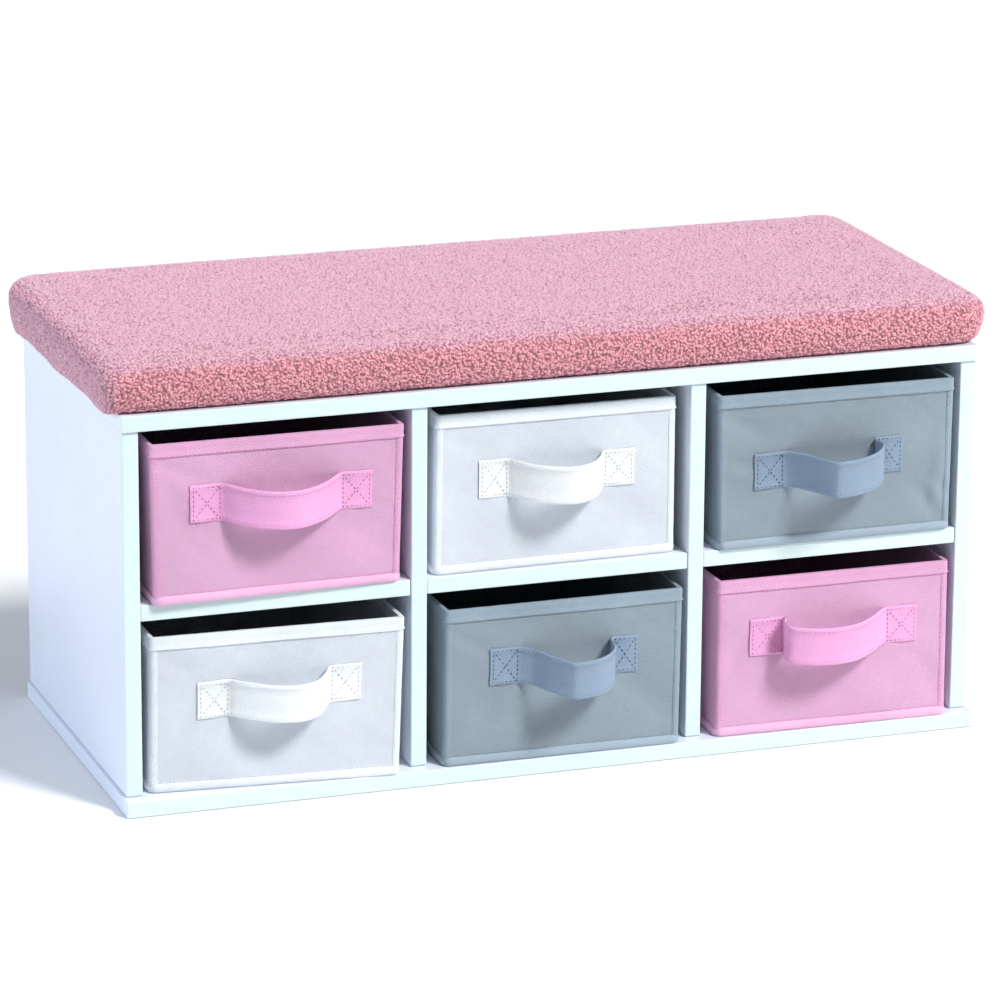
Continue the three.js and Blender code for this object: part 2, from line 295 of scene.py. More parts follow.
def bin_cloth(name, colour):
    """Cloth with staggered rows of small welded dots, from the piece's own UV map; the sunken dots are
    painted darker as shade.
    """
    material, tree, shader = new_material(name, {
        "Roughness": 0.82, "Specular IOR Level": 0.3, "Sheen Weight": 0.12,
    })
    flat_place = add_node(tree, "ShaderNodeUVMap").outputs["UV"]
    run = add_node(tree, "ShaderNodeSeparateXYZ", {"Vector": flat_place}).outputs
    waves = []
    for axis in ("X", "Y"):
        angle = maths(tree, "MULTIPLY", run[axis], 2 * math.pi / emboss_pitch)
        waves.append(maths(tree, "SINE", angle))
    sunk = spread(tree, maths(tree, "MULTIPLY", *waves), 0, 1, -0.2, 0.9)
    fibre = grain(tree, 1100.0, detail=4.0, roughness=0.7)
    patchy = grain(tree, 14.0, detail=3.0)
    fibre_tone_and_dimple_shade = shade(colour, 0.72)
    mottled = tinted(tree, spread(tree, patchy, 0, 1), shade(colour, 0.93), shade(colour, 1.10))
    fibrous = tinted(tree, spread(tree, fibre, 0.0, 0.6), mottled, fibre_tone_and_dimple_shade)
    # Painted shade darkens the sunken dots; the darker fibre speckle is the cloth's own random tone.
    two_tone(tree, shader, spread(tree, sunk, 0, 0.75, 0, 1), fibrous, fibre_tone_and_dimple_shade)
    bumped(tree, shader, maths(tree, "SUBTRACT", fibre, sunk), 0.8, 0.00035)
    return material


def sewing_thread(name, colour):
    """Thread of two plies, one of them lighter."""
    material, tree, shader = new_material(name, {"Roughness": 0.7})
    twist = grain(tree, 3000.0, stretch=(1, 1, 3))
    two_tone(tree, shader, spread(tree, twist, 0, 1), colour, shade(colour, 1.3))
    bumped(tree, shader, twist, 0.4, 0.0001)
    return material


cloth_layers = ("panel", "hem", "piping", "strap")
cloths = {
    kind: {layer: bin_cloth(f"{kind}_{layer}", colours[layer]) for layer in cloth_layers}
    for kind, colours in cloth_colours.items()
}
# The seam and thread colours are darker than the cloth: partly the thread's own colour, partly painted shade
# of the needle holes.
threads = {
    kind: {use: sewing_thread(f"{kind}_{use}", colours[use]) for use in ("seam", "thread")}
    for kind, colours in cloth_colours.items()
}


# ---- Bin bodies -------------------------------------------------------------
# Each bin is an open box of cloth sewn round four stiff cards and a bottom. It
# has stood full and empty, so every one leans and bulges a little differently.

bin_outline_radius = 0.0035
bin_wall = 0.003
bin_floor = 0.0025
rim_rounding = 0.0012
cloth_step = 0.0035

# Each bin's cloth, how far its front corners have moved to the right and inwards
# (bottom left, bottom right, top left, top right), how far its front bulges, and
# its creases: from and to, across and up its front, then depth and width. In mm.
bins = {
    "upper_left_bin": {
        "kind": "pink", "right": (1, -0.5, -1.5, 2.5), "inward": (-6, 0, -2, -3), "bulge": 1.5,
        "creases": [
            (-114, 132, -50, 104, 1.7, 7), (-52, 74, -10, 10, 1.5, 16), (50, 72, 108, 24, 1.2, 14),
            (-108, 124, -84, 60, 1.0, 8),
        ],
    },
    "upper_centre_bin": {
        "kind": "white", "right": (-2.5, 0, 2, 0.5), "inward": (-6, -2.5, 1, -0.5), "bulge": 2.0,
        "creases": [
            (-110, 56, -80, 88, 1.5, 8), (36, 62, 100, 18, 1.3, 14), (-112, 128, -60, 108, 1.1, 7),
            (-40, 64, -6, 14, 1.2, 16),
        ],
    },
    "upper_right_bin": {
        "kind": "grey", "right": (1, 0, -2, -1.5), "inward": (-0.5, 0, -3, -6), "bulge": 1.5,
        "creases": [
            (-112, 128, -64, 106, 1.8, 7), (-112, 86, -78, 78, 1.9, 7), (-108, 70, -80, 70, -1.0, 6),
            (98, 10, 105, 96, -3.0, 8), (106, 8, 88, 40, 3.0, 7), (112, 30, 96, 60, 2.2, 6),
            (60, 60, 98, 30, 1.2, 12),
        ],
    },
    "lower_left_bin": {
        "kind": "white", "right": (-1, -3.5, 0, 3.5), "inward": (1, -19, -3, -13), "bulge": 1.5,
        "creases": [
            (-108, 36, -72, 74, 1.5, 8), (52, 60, 106, 14, 1.4, 14), (-112, 130, -70, 110, 1.2, 7),
            (-36, 66, 0, 12, 1.3, 16),
        ],
    },
    "lower_centre_bin": {
        "kind": "grey", "right": (0, -3.5, 2.7, 1), "inward": (-4, -7, 0, 0), "bulge": 1.5,
        "creases": [
            (-110, 128, -66, 100, 1.8, 7), (56, 70, 106, 26, 1.4, 12), (-60, 66, -96, 20, 1.3, 14),
            (96, 122, 60, 108, 1.2, 7),
        ],
    },
    "lower_right_bin": {
        "kind": "pink", "right": (-1.5, -3.5, 2.7, 1), "inward": (-10, -15, 0, -2.5), "bulge": 2.0,
        "creases": [
            (-108, 56, -82, 96, 1.8, 8), (80, 70, 110, 16, 1.5, 12), (-40, 66, 20, 16, 1.3, 16),
            (104, 124, 60, 106, 1.2, 7),
        ],
    },
}
face_reach = 0.012
unevenness = 0.0006
ripple = 0.00022
side_sag = 0.0022
back_room = 0.0024
firm_edge = math.radians(38)
corner_turns = 5


def corner_blend(values, across, up):
    """Blends four corner values: bottom left, bottom right, top left, top right."""
    bottom = values[0] + (values[1] - values[0]) * across
    top = values[2] + (values[3] - values[2]) * across
    return (bottom + (top - bottom) * up) / 1000


def stand(this, across, back, up):
    """Where a point of a bin stands. Across is from its middle, back from its front, up from its foot.

    The front leans, bulges and creases, the sides sag inwards, and the back leaves
    room for its seams, so that a bin can be pushed right up to the back panel.
    """
    share_across = np.clip(across / this["width"] + 0.5, 0, 1)
    share_up = np.clip(up / this["height"], 0, 1)
    forward = 1 - np.clip(back / this["depth"], 0, 1)
    near_front = np.exp(-np.abs(back) / face_reach)
    dome = 16 * share_across * (1 - share_across) * share_up * (1 - share_up)
    x = across + forward * corner_blend(this["right"], share_across, share_up)
    y = back + forward ** 2 * corner_blend(this["inward"], share_across, share_up)
    y = y - near_front * dome * this["bulge"] / 1000
    seed = this["seed"]
    wave = np.sin(41 * across + 67 * up + seed) + np.sin(83 * up - 29 * across + 2 * seed)
    y = y + near_front * unevenness * wave * np.minimum(1, 4 * dome)
    small_wave = np.sin(390 * across + 60 * up + 3 * seed) * np.sin(260 * up - 150 * across + seed)
    y = y + near_front * ripple * small_wave
    for x0, z0, x1, z1, depth, width in this["creases"]:
        run = np.array([x1 - x0, z1 - z0]) / 1000
        from_start = np.stack([across - x0 / 1000, up - z0 / 1000], -1)
        along = np.clip(from_start @ run / (run @ run), 0, 1)
        away = np.linalg.norm(from_start - along[..., None] * run, axis=-1)
        fade = 4 * along * (1 - along) + 0.15
        y = y + near_front * fade * depth / 1000 * np.exp(-(away * 1000 / width) ** 2)
    share_back = np.clip(back / this["depth"], 0, 1)
    side_dome = 16 * share_back * (1 - share_back) * share_up * (1 - share_up)
    side_wave = 1 + 0.35 * np.sin(25 * back + 40 * up + seed)
    on_side = np.clip(np.abs(share_across - 0.5) * 2, 0, 1) ** 6
    x = x - np.sign(across) * side_dome * side_sag * side_wave * on_side
    y = y - back_room * np.exp(-np.maximum(0, this["depth"] - back) / face_reach)
    return np.stack([this["x"] + x, this["y"] + y, this["z"] + up + 0 * x], -1)


def outline(this, radius):
    """Points, outward directions and run round a bin's plan, from the middle of its back by its left."""
    half = this["width"] / 2
    depth = this["depth"]
    corners = [(-half, depth, 90), (-half, 0, 180), (half, 0, 270), (half, depth, 360)]
    centres = [
        np.array([x - math.copysign(radius, x), y + (radius if y == 0 else -radius)]) for x, y, _ in corners
    ]
    points, outward = [], []
    for i, (_, _, start) in enumerate(corners):
        for angle in np.radians(np.linspace(start, start + 90, corner_turns + 1)):
            direction = np.array([math.cos(angle), math.sin(angle)])
            points.append(centres[i] + radius * direction)
            outward.append(direction)
        end = centres[(i + 1) % 4] + radius * outward[-1]
        steps = max(2, round(float(np.linalg.norm(end - points[-1])) / cloth_step))
        start_point = points[-1]
        for k in range(1, steps):
            points.append(start_point + (end - start_point) * k / steps)
            outward.append(outward[-1])
    points, outward = np.array(points), np.array(outward)
    run = np.linalg.norm(np.roll(points, -1, 0) - points, axis=1)
    return points, outward, np.concatenate([[0], np.cumsum(run)])


def piece_of(name, points, faces, cloth=None, material=None, firm=False):
    """A mesh object from points and faces; cloth holds each face corner's place on the cloth, in metres."""
    mesh = bpy.data.meshes.new(name)
    mesh.from_pydata([tuple(p) for p in points], [], [tuple(map(int, f)) for f in faces])
    if cloth is not None:
        layer = mesh.uv_layers.new(name="cloth")
        layer.data.foreach_set("uv", np.asarray(cloth, np.float32).ravel())
    shape = bmesh.new()
    shape.from_mesh(mesh)
    bmesh.ops.recalc_face_normals(shape, faces=shape.faces)
    shape.to_mesh(mesh)
    shape.free()
    mesh.polygons.foreach_set("use_smooth", [True] * len(mesh.polygons))
    if firm:
        mesh.set_sharp_from_angle(angle=firm_edge)
    if material:
        mesh.materials.append(material)
    made = bpy.data.objects.new(name, mesh)
    scene.collection.objects.link(made)
    return made


def lofted(name, rows, across, along, material, ring=True, band=False, capped=False):
    """Quads over rows of points. A ring closes each row, a band joins the last row to the first."""
    count_rows, count = rows.shape[:2]
    row_starts = np.arange(count_rows if band else count_rows - 1)
    columns = np.arange(count if ring else count - 1)
    i, j = np.meshgrid(row_starts, columns, indexing="ij")
    below, above = i * count, (i + 1) % count_rows * count
    ahead = (j + 1) % count
    quads = np.stack([below + j, below + ahead, above + ahead, above + j], -1).reshape(-1, 4)
    places = np.stack([
        np.stack([across[j + a], along[i + b]], -1) for a, b in ((0, 0), (1, 0), (1, 1), (0, 1))
    ], -2).reshape(-1, 2)
    faces = [tuple(q) for q in quads]
    if capped:
        for first in (0, (count_rows - 1) * count):
            cap = np.arange(first, first + count)
            faces.append(tuple(cap))
            flat_places = rows.reshape(-1, 3)[cap][:, :2]
            places = np.concatenate([places, flat_places])
    return piece_of(name, rows.reshape(-1, 3), faces, places, material, firm=True)


def ring_rows(this, radius, profile):
    """Rows round a bin for a profile of (outwards, up) steps, with the run along both ways."""
    points, outward, run = outline(this, radius)
    rows = []
    for out, up in profile:
        place = points + outward * out
        rows.append(stand(this, place[:, 0], place[:, 1], np.full(len(place), up)))
    steps = np.linalg.norm(np.diff(np.array(profile), axis=0), axis=1)
    return np.array(rows), run, np.concatenate([[0], np.cumsum(steps)])


def rounded_path(path, radius, turns=3):
    """The corners of a path of (outwards, up) points rounded by a radius, its ends kept."""
    path = np.array(path, float)
    made = [path[0]]
    for before, corner, after in zip(path, path[1:], path[2:]):
        a = corner + (before - corner) * min(0.5, radius / np.linalg.norm(before - corner))
        b = corner + (after - corner) * min(0.5, radius / np.linalg.norm(after - corner))
        for t in np.linspace(0, 1, turns + 1):
            made.append((1 - t) ** 2 * a + 2 * t * (1 - t) * corner + t ** 2 * b)
    made.append(path[-1])
    return np.array(made)


def refined(path, step):
    """Adds points to a path so that none of its runs is longer than a step."""
    made = [path[0]]
    for a, b in zip(path, path[1:]):
        pieces = max(1, math.ceil(np.linalg.norm(b - a) / step))
        made += [a + (b - a) * k / pieces for k in range(1, pieces + 1)]
    return np.array(made)


floor_margin = 0.03
for number, (name, this) in enumerate(bins.items()):
    low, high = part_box(f"{name}_shell")
    this.update(
        x=(low.x + high.x) / 2, y=low.y, z=low.z, seed=1.7 * number,
        width=high.x - low.x, depth=high.y - low.y, height=high.z - low.z,
    )
    this["cloths"] = cloths[this["kind"]]
    wall_path = rounded_path([
        (-floor_margin, 0), (0, 0), (0, this["height"]), (-bin_wall, this["height"]),
        (-bin_wall, bin_floor), (-floor_margin, bin_floor),
    ], rim_rounding)
    rows, run, up_run = ring_rows(this, bin_outline_radius, refined(wall_path, cloth_step))
    body = lofted(f"{name}_panels", rows, run, up_run, this["cloths"]["panel"], capped=True)
    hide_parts(f"{name}_shell")
    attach(body, name)


# ---- Bin hems ---------------------------------------------------------------
# The cloth is folded down over the rim and sewn through, which leaves a band
# 11 mm deep outside and inside, with a ridge where its raw edge is turned under.

hem_depth = 0.0115
hem_stand = 0.0009
ridge_stand = 0.0016
ridge_height = 0.0022


def hem_profile(height):
    """The hem's section, from its ridge up the outside, over the rim and down the inside."""
    foot = height - hem_depth
    inner = -bin_wall
    ridge = [
        (-0.0004, foot), (0.0007, foot - 0.0001), (ridge_stand, foot + 0.0006),
        (ridge_stand, foot + ridge_height - 0.0006),
    ]
    outside = [
        (hem_stand, foot + ridge_height + 0.0004), (hem_stand, height - 0.004), (hem_stand, height - 0.0012),
    ]
    rim = [
        (hem_stand * 0.5, height + 0.0004), (inner / 2, height + 0.0008),
        (inner - hem_stand * 0.5, height + 0.0004),
    ]
    inside = [
        (inner - hem_stand, height - 0.0012), (inner - hem_stand, foot + 0.002),
        (inner - 0.0004, foot + 0.001), (inner + 0.0006, foot + 0.001),
    ]
    return np.array(ridge + outside + rim + inside)


for name, this in bins.items():
    rows, run, up_run = ring_rows(this, bin_outline_radius, hem_profile(this["height"]))
    closing = np.append(up_run, up_run[-1] + bin_wall)
    hem = lofted(f"{name}_hem", rows, run, closing, this["cloths"]["hem"], band=True)
    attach(hem, name)


# ---- Bin foot piping --------------------------------------------------------
# The walls and the bottom meet in a seam bound with a strip of doubled cloth,
# which makes a soft roll round the foot of the bin.

piping_height = 0.0085
piping_radius = 0.0065
piping_profile = np.array([
    (-0.0030, 0.0004), (-0.0010, 0.0), (0.0006, 0.0002), (0.0015, 0.0012), (0.0020, 0.0030),
    (0.0021, 0.0048), (0.0018, 0.0066), (0.0012, 0.0079), (0.0004, piping_height),
    (-0.0008, piping_height - 0.0002),
])

for name, this in bins.items():
    rows, run, up_run = ring_rows(this, piping_radius, piping_profile)
    closing = np.append(up_run, up_run[-1] + piping_height)
    piping = lofted(f"{name}_piping", rows, run, closing, this["cloths"]["piping"], band=True)
    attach(piping, name)


# ---- Bin corner bindings ----------------------------------------------------
# Each upright corner is a seam covered by a folded strip, about 6 mm wide on both
# faces and stitched down each edge, from the piping up to the hem.

binding_reach = 0.0030
binding_stand = 0.0007
binding_rows = 40
corner_places = {"back_left": (-1, 1), "front_left": (-1, 0), "front_right": (1, 0), "back_right": (1, 1)}

for name, this in bins.items():
    low, high = piping_height - 0.001, this["height"] - hem_depth + 0.0006
    heights = np.linspace(low, high, binding_rows)
    for label, corner in corner_places.items():
        middle = np.array([corner[0] * this["width"] / 2, corner[1] * this["depth"]])
        middle = middle - np.sign(middle - [0, this["depth"] / 2]) * bin_outline_radius
        plan, normals = [], []
        start = math.atan2(2 * corner[1] - 1, corner[0])
        for angle in np.linspace(start - math.pi / 4, start + math.pi / 4, 7):
            normals.append((math.cos(angle), math.sin(angle)))
            plan.append(middle + bin_outline_radius * np.array(normals[-1]))
        first = np.array([normals[0][1], -normals[0][0]])
        last = np.array([-normals[-1][1], normals[-1][0]])
        for _ in range(3):
            plan = [plan[0] + first * binding_reach * 0.33] + plan + [plan[-1] + last * binding_reach * 0.33]
            normals = [normals[0]] + normals + [normals[-1]]
        plan, normals = np.array(plan), np.array(normals)
        ends = np.ones(len(plan))
        ends[[0, -1]] = 0.75
        section = np.concatenate([
            plan + normals * (binding_stand * ends)[:, None], (plan - normals * 0.0003)[::-1],
        ])
        rows = np.array([
            stand(this, section[:, 0], section[:, 1], np.full(len(section), up)) for up in heights
        ])
        width_run = np.concatenate([[0], np.cumsum(np.linalg.norm(np.diff(section, axis=0), axis=1))])
        width_run = np.append(width_run, width_run[-1] + binding_stand)
        cloth = this["cloths"]["hem"]
        strip = lofted(f"{name}_{label}_binding", rows, width_run, heights, cloth, capped=True)
        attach(strip, name)


# ---- Strap handles ----------------------------------------------------------
# A 35 mm strap of doubled cloth with its edges turned in, sewn on at both ends
# with a boxed cross. The slack between the two patches stands out as a loop.

strap_width = 0.035
strap_thickness = 0.0011
turned_edge = 0.0045
turned_stand = 0.0004
turned_lines = (3, 9)

# Left patch from and to, right patch from and to, across from the bin's middle;
# the heights of both; and the loop: across, outwards and down. In mm.
handles = {
    "upper_left_bin": {
        "left": (-81, -51), "right": (57, 87), "heights": (91, 91),
        "loop": [(-47, 5, 0), (-41, 12, 1), (-24, 25, 3), (-2, 32, 4), (16, 30, 4), (37, 18, 3), (51, 6, 1)],
    },
    "upper_centre_bin": {
        "left": (-75, -46), "right": (44, 75), "heights": (86, 86),
        "loop": [
            (-43, 5, 0), (-31, 20, 1.5), (-15, 32, 2), (3, 38.5, 2), (21, 32, 2), (36, 16, 1), (42, 5, 0),
        ],
    },
    "upper_right_bin": {
        "left": (-82, -52), "right": (38, 65), "heights": (73, 80),
        "loop": [
            (-48, 3, 0), (-38, 14, 1), (-27, 31, 3), (-18, 45, 4), (-15.5, 46, 4), (2, 44, 4),
            (18, 38, 3.5), (31, 29, 2.5), (38.5, 18, 1), (38.5, 9, 0.5), (36.8, 4, 0),
        ],
    },
    "lower_left_bin": {
        "left": (-73, -43), "right": (47, 77), "heights": (85, 92),
        "loop": [
            (-40, 5, 0), (-27, 17, 1), (-8, 28, 2.5), (12, 32, 3), (29, 25, 3), (40, 12, 1.5), (45, 4, 0),
        ],
    },
    "lower_centre_bin": {
        "left": (-73, -44), "right": (46, 72), "heights": (91, 91),
        "loop": [
            (-41, 3, 0), (-33, 10, 1), (-20, 31, 3.5), (-7.5, 47, 5), (-5, 48, 5), (14, 46, 4.5),
            (29, 38, 3.5), (39, 27, 2), (42.5, 15, 1), (43.5, 6, 0),
        ],
    },
    "lower_right_bin": {
        "left": (-84, -50), "right": (51, 84), "heights": (92, 92),
        "loop": [
            (-50.5, 4, 0), (-54, 11, 0.5), (-55.5, 19, 1), (-52.5, 26, 2), (-44, 31, 2.5), (-30, 36, 3),
            (-10, 38, 3), (11, 33, 2.5), (33, 18, 1), (46, 5, 0),
        ],
    },
}
strap_step = 0.0016


def smooth_through(points, step):
    """A Catmull-Rom curve through points, sampled evenly."""
    points = np.array(points, float)
    padded = np.concatenate([2 * points[:1] - points[1:2], points, 2 * points[-1:] - points[-2:-1]])
    made = []
    for a, b, c, d in zip(padded, padded[1:], padded[2:], padded[3:]):
        knots = [0.0]
        for p, q in ((a, b), (b, c), (c, d)):
            knots.append(knots[-1] + max(1e-6, np.linalg.norm(q - p)) ** 0.5)
        for t in np.linspace(knots[1], knots[2], 24, endpoint=False):
            ab = a + (b - a) * (t - knots[0]) / (knots[1] - knots[0])
            bc = b + (c - b) * (t - knots[1]) / (knots[2] - knots[1])
            cd = c + (d - c) * (t - knots[2]) / (knots[3] - knots[2])
            abc = ab + (bc - ab) * (t - knots[0]) / (knots[2] - knots[0])
            bcd = bc + (cd - bc) * (t - knots[1]) / (knots[3] - knots[1])
            made.append(abc + (bcd - abc) * (t - knots[1]) / (knots[2] - knots[1]))
    made.append(points[-1])
    made = np.array(made)
    run = np.concatenate([[0], np.cumsum(np.linalg.norm(np.diff(made, axis=0), axis=1))])
    even = np.linspace(0, run[-1], max(2, round(run[-1] / step)) + 1)
    return np.stack([np.interp(even, run, made[:, k]) for k in range(made.shape[1])], -1)


def strap_section():
    """The strap's section: how far across each point is, and how far it stands out or back."""
    half = strap_width / 2
    inner = half - turned_edge
    left = [
        (-half, 0.0), (-half + 0.0003, 0.4), (-half + 0.0012, 1.0), (-inner - 0.0006, 1.0), (-inner, 0.6),
        (-inner / 2, 0.58),
    ]
    face = left + [(0, 0.58)] + [(-across, share) for across, share in left[::-1]]
    thick = strap_thickness / 2 + turned_stand
    front = [(across, share * thick) for across, share in face]
    back = [(across, -share * thick) for across, share in face[-2:0:-1]]
    return np.array(front + back)


for name, this in bins.items():
    handle = handles[name]
    lie = strap_thickness / 2 + turned_stand + 0.0002
    left, right = (np.array(handle[side]) / 1000 for side in ("left", "right"))
    loop = [(x / 1000, out / 1000 + lie, down / 1000) for x, out, down in handle["loop"]]
    path = smooth_through([
        (left[0], lie, 0), (left[0] * 0.6 + left[1] * 0.4, lie, 0), (left[1] - 0.001, lie, 0), *loop,
        (right[0] + 0.001, lie, 0), (right[0] * 0.4 + right[1] * 0.6, lie, 0), (right[1], lie, 0),
    ], strap_step)
    tangent = np.gradient(path[:, :2], axis=0)
    tangent /= np.linalg.norm(tangent, axis=1)[:, None]
    facing = np.stack([-tangent[:, 1], tangent[:, 0]], -1)
    run = np.concatenate([[0], np.cumsum(np.linalg.norm(np.diff(path, axis=0), axis=1))])
    share = run / run[-1]
    left_height, right_height = (value / 1000 for value in handle["heights"])
    middle_height = left_height + (right_height - left_height) * share - path[:, 2]
    section = strap_section()
    rows = []
    for k in range(len(path)):
        across = path[k, 0] + facing[k, 0] * section[:, 1]
        out = path[k, 1] + facing[k, 1] * section[:, 1]
        rows.append(stand(this, across, -out, middle_height[k] + section[:, 0]))
    width_run = np.append(section[:, 0], section[0, 0])
    rows = np.array(rows)
    strap = lofted(f"{name}_strap", rows, width_run, run, this["cloths"]["strap"], capped=True)
    loose = (path[:, 0] > left[1]) & (path[:, 0] < right[0])
    this["strap_seams"] = [rows[loose, edge] for edge in turned_lines]
    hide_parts(f"{name}_handle")
    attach(strap, name)
    this["patches"] = [
        (left[0], left[1], left_height, lie), (right[0], right[1], right_height, lie),
    ]


# ---- Stitching --------------------------------------------------------------
# Lock stitches 4 mm apart: round the hem, above the piping and down each edge of the bindings in matching
# thread, and a boxed cross on each patch in a darker one. Both threads are darker than the cloth, partly by
# their own colour and partly as painted shade of the needle holes they sink into.

stitch_pitch = 0.0042
stitch_length = 0.0026
thread_radius = 0.00038
patch_margin = 0.0028
stitch_line_step = 0.002


def new_group(name, sizes):
    """A geometry node group with named inputs, and their sockets inside it."""
    group = bpy.data.node_groups.new(name, "GeometryNodeTree")
    for label, kind in (("Geometry", "Geometry"), *sizes):
        group.interface.new_socket(label, in_out="INPUT", socket_type=f"NodeSocket{kind}")
    group.interface.new_socket("Geometry", in_out="OUTPUT", socket_type="NodeSocketGeometry")
    return group, group.nodes.new("NodeGroupInput").outputs


def end_group(group, geometry, material):
    """Ends a group by giving its real geometry a material."""
    done = add_node(group, "GeometryNodeSetMaterial", {"Geometry": geometry, "Material": material})
    out = group.nodes.new("NodeGroupOutput")
    group.links.new(done.outputs["Geometry"], out.inputs["Geometry"])
    return group


def stitch_maker():
    """Sets a small bead on every pitch along edges; Size is its half size, with Z along the edge."""
    group, given = new_group("stitching", (("Pitch", "Float"), ("Size", "Vector"), ("Thread", "Material")))
    seam = add_node(group, "GeometryNodeMeshToCurve", {"Mesh": given["Geometry"]})
    even = add_node(group, "GeometryNodeResampleCurve", {
        "Curve": seam.outputs["Curve"], "Length": given["Pitch"],
    }, mode="LENGTH")
    bead = add_node(group, "GeometryNodeMeshUVSphere", {"Segments": 6, "Rings": 4, "Radius": 1.0})
    lie_along = add_node(group, "FunctionNodeAlignEulerToVector", {
        "Vector": add_node(group, "GeometryNodeInputTangent").outputs["Tangent"],
    }, axis="Z")
    placed = add_node(group, "GeometryNodeInstanceOnPoints", {
        "Points": even.outputs["Curve"], "Instance": bead.outputs["Mesh"],
        "Rotation": lie_along.outputs["Rotation"], "Scale": given["Size"],
    })
    real = add_node(group, "GeometryNodeRealizeInstances", {"Geometry": placed.outputs["Instances"]})
    smooth = add_node(group, "GeometryNodeSetShadeSmooth", {"Geometry": real.outputs["Geometry"]})
    return end_group(group, smooth.outputs["Geometry"], given["Thread"])


def made_by(group, name, base, values):
    """Runs a node group on an object and returns the result as a plain mesh object."""
    modifier = base.modifiers.new("maker", "NODES")
    modifier.node_group = group
    sockets = {item.name: item.identifier for item in group.interface.items_tree if item.in_out == "INPUT"}
    for label, value in values.items():
        modifier[sockets[label]] = value
    bpy.context.view_layer.update()
    ready = base.evaluated_get(bpy.context.evaluated_depsgraph_get())
    mesh = bpy.data.meshes.new_from_object(ready)
    mesh.name = name
    made = bpy.data.objects.new(name, mesh)
    scene.collection.objects.link(made)
    bpy.data.objects.remove(base)
    return made


def line_mesh(lines):
    """An object of bare edges, one run for each line of points."""
    starts = np.cumsum([0] + [len(line) for line in lines])
    mesh = bpy.data.meshes.new("lines")
    mesh.from_pydata(
        [tuple(p) for line in lines for p in line],
        [(first + k, first + k + 1) for first, line in zip(starts, lines) for k in range(len(line) - 1)], [],
    )
    made = bpy.data.objects.new("lines", mesh)
    scene.collection.objects.link(made)
    return made


def seam_lines(this):
    """The seams of one bin's cloth, each a run of points in place."""
    lines = []
    points, outward, _ = outline(this, bin_outline_radius)
    closed = np.arange(len(points) + 1) % len(points)
    for out, up in (
        (ridge_stand + thread_radius * 0.2, this["height"] - hem_depth + ridge_height / 2),
        (thread_radius * 0.3, piping_height + 0.0012),
    ):
        place = (points + outward * out)[closed]
        lines.append(stand(this, place[:, 0], place[:, 1], np.full(len(place), up)))
    heights = np.linspace(piping_height + 0.003, this["height"] - hem_depth - 0.001, binding_rows)
    inset = bin_outline_radius + binding_reach - 0.0012
    out = binding_stand + thread_radius * 0.2
    half, depth = this["width"] / 2, this["depth"]
    for side in (-1, 1):
        for x, y in (
            (side * (half - inset), -out), (side * (half - inset), depth + out),
            (side * (half + out), inset), (side * (half + out), depth - inset),
        ):
            lines.append(stand(this, np.full(len(heights), x), np.full(len(heights), y), heights))
    return lines + this["strap_seams"]


def patch_lines(this):
    """The boxed crosses on one bin's patches."""
    lines = []
    for left, right, height, lie in this["patches"]:
        x0, x1 = left + patch_margin, right - patch_margin
        z0, z1 = height - strap_width / 2 + patch_margin, height + strap_width / 2 - patch_margin
        up = lie + strap_thickness / 2 + thread_radius * 0.4
        box = [(x0, z0), (x1, z0), (x1, z1), (x0, z1), (x0, z0)]
        for path in (box, [(x0, z0), (x1, z1)], [(x0, z1), (x1, z0)]):
            path = refined(np.array(path), stitch_line_step)
            lines.append(stand(this, path[:, 0], np.full(len(path), -up), path[:, 1]))
    return lines


stitching = stitch_maker()
stitch_size = (thread_radius, thread_radius, stitch_length / 2)
for name, this in bins.items():
    for label, use, lines in (("seam", "seam", seam_lines(this)), ("patch", "thread", patch_lines(this))):
        stitches = made_by(stitching, f"{name}_{label}_stitching", line_mesh(lines), {
            "Pitch": stitch_pitch, "Size": stitch_size, "Thread": threads[this["kind"]][use],
        })
        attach(stitches, name)


# ---- Bin base boards --------------------------------------------------------
# A loose sheet of grey card stiffens the bottom of each bin. It lifts out, and
# its surface shows the fibres of the recycled board.

card, tree, shader = new_material("grey_card", {"Roughness": 0.85})
pulp = grain(tree, 500.0, detail=6.0, roughness=0.75)
two_tone(
    tree, shader, spread(tree, pulp, 0, 1, 0.35, 0.65), (0.115, 0.12, 0.125, 1), (0.20, 0.205, 0.21, 1),
)
bumped(tree, shader, pulp, 0.4, 0.0002)
for name in bins:
    dress(f"{name}_base_board", card)


# ---- Cushion cover ----------------------------------------------------------
# A boucle slip cover over a foam slab. The cage is blown up a little as cloth,
# rounded by subdivision, and its curls are then raised out of the surface.

cover_low, cover_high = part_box("cushion_cover")
corner_radius = 0.020
edge_run = 0.019
edge_drop = 0.016
widest_share = 0.6
foot_inset = 0.0070
foot_drop = 0.0009
foot_rounding = 0.004
under_turn = 0.012
flat_margin = 0.030
cage_step = 0.0100
crown = 0.0022
swell_pressure = 4.0
swell_limit = 0.003
swell_frames = 20
cover_rounds = 3
side_shares = (0.5, 0.3, 0.12)

# The cover has been pushed a little to the left, where its edge hangs over the side panel.
left_shift = 0.0035
left_foot_shift = 0.0035
left_droop = 0.0075
left_reach = 0.032
droop_starts = -0.4112
droop_run = 0.008


def cushion_profile():
    """The cover's side from the flat top, over the edge and down, to just under its foot."""
    height = cover_high.z - cover_low.z
    top = [
        (-edge_run + edge_run * math.sin(a), height - edge_drop * (1 - math.cos(a)))
        for a in np.linspace(0, math.pi / 2, 6)
    ]
    side = [(-foot_inset * (1 - share / widest_share) ** 2, share * height) for share in side_shares]
    under = [
        (-foot_inset - 0.0012, foot_rounding * 0.3), (-foot_inset - foot_rounding, -foot_drop),
        (-foot_inset - under_turn, 0.0),
    ]
    return [(-flat_margin, height)] + top + side + under


